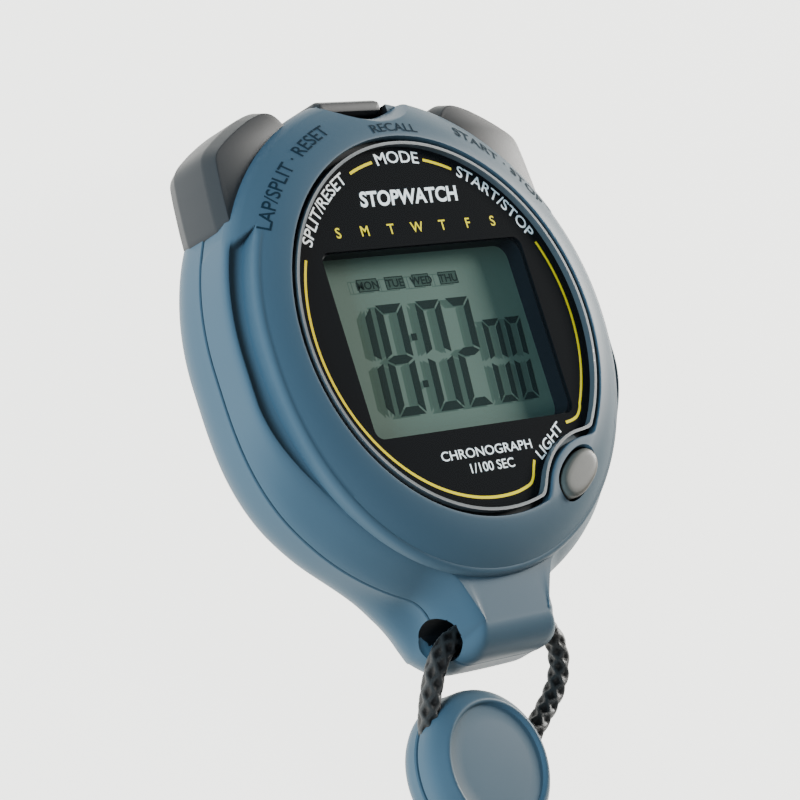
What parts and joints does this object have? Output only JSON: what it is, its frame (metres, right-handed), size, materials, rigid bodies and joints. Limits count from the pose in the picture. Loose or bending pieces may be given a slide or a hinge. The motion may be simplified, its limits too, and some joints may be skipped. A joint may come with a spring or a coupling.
{
  "type": "digital stopwatch",
  "caption": "Hand-held digital stopwatch lying on its back, round case with corner push buttons, light button, display and a coiled neck lanyard with slider.",
  "frame": {"origin": "on the flat back face, under the middle of the dial", "axes": "+Z out of the dial, +Y towards the mode button, +X towards the start/stop button"},
  "size_m": [0.0714, 0.1648, 0.0194],
  "materials": {
    "case": "fine satin metallic blue-grey paint",
    "button": "satin warm gunmetal paint",
    "lens": "clear, polished",
    "black_print": "gloss black print",
    "black_plastic": "matte",
    "display": "grey-green reflective display",
    "white_plastic": "satin",
    "board": "green solder mask",
    "steel": "nickel plated",
    "brass": "plain",
    "rubber": "matte black",
    "cord": "braided black polyester",
    "slider": "fine-grained blue-grey plastic"
  },
  "bodies": {
    "watch": {"front_case": "case", "rear_case": "case", "battery_door": "case", "case_gasket": "rubber", "lens": "lens", "dial_mask": "black_print", "lcd_frame": "black_plastic", "lcd_glass": "display", "light_guide": "white_plastic", "lamp": "white_plastic", "zebra_strips": "rubber", "circuit_board": "board", "processor_chip": "black_plastic", "quartz_crystal": "steel", "chip_resistors": "black_plastic", "buzzer": "brass", "contact_leaves": "brass", "coin_battery": "steel", "battery_contact": "brass", "door_seal": "rubber", "door_screws": "steel", "case_screws": "steel", "stem_seals": "rubber", "start_stop_spring": "steel", "split_reset_spring": "steel", "mode_spring": "steel", "light_spring": "steel", "lanyard_left": "cord", "lanyard_right": "cord", "lanyard_coil": "cord", "coil_tie": "rubber", "slider_front": "slider", "slider_back": "slider"},
    "start_stop": {"start_stop_button": "button", "start_stop_clip": "steel"},
    "split_reset": {"split_reset_button": "button", "split_reset_clip": "steel"},
    "mode": {"mode_button": "button", "mode_clip": "steel"},
    "light": {"light_button": "button", "light_clip": "steel"}
  },
  "joints": [
    {"name": "start_stop_push", "type": "slide", "parent": "watch", "child": "start_stop", "axis": [-0.5373, -0.8434, 0], "range_m": [0, 0.0011], "stiffness_N_per_m": 500, "springref_m": -0.0006, "deforming": ["start_stop_spring"]},
    {"name": "split_reset_push", "type": "slide", "parent": "watch", "child": "split_reset", "axis": [0.5373, -0.8434, 0], "range_m": [0, 0.0011], "stiffness_N_per_m": 500, "springref_m": -0.0006, "deforming": ["split_reset_spring"]},
    {"name": "mode_push", "type": "slide", "parent": "watch", "child": "mode", "axis": [0, -1, 0], "range_m": [0, 0.0011], "stiffness_N_per_m": 500, "springref_m": -0.0006, "deforming": ["mode_spring"]},
    {"name": "light_push", "type": "slide", "parent": "watch", "child": "light", "axis": [0, 0, -1], "range_m": [0, 0.0008], "stiffness_N_per_m": 500, "springref_m": -0.0006, "deforming": ["light_spring"]}
  ]
}
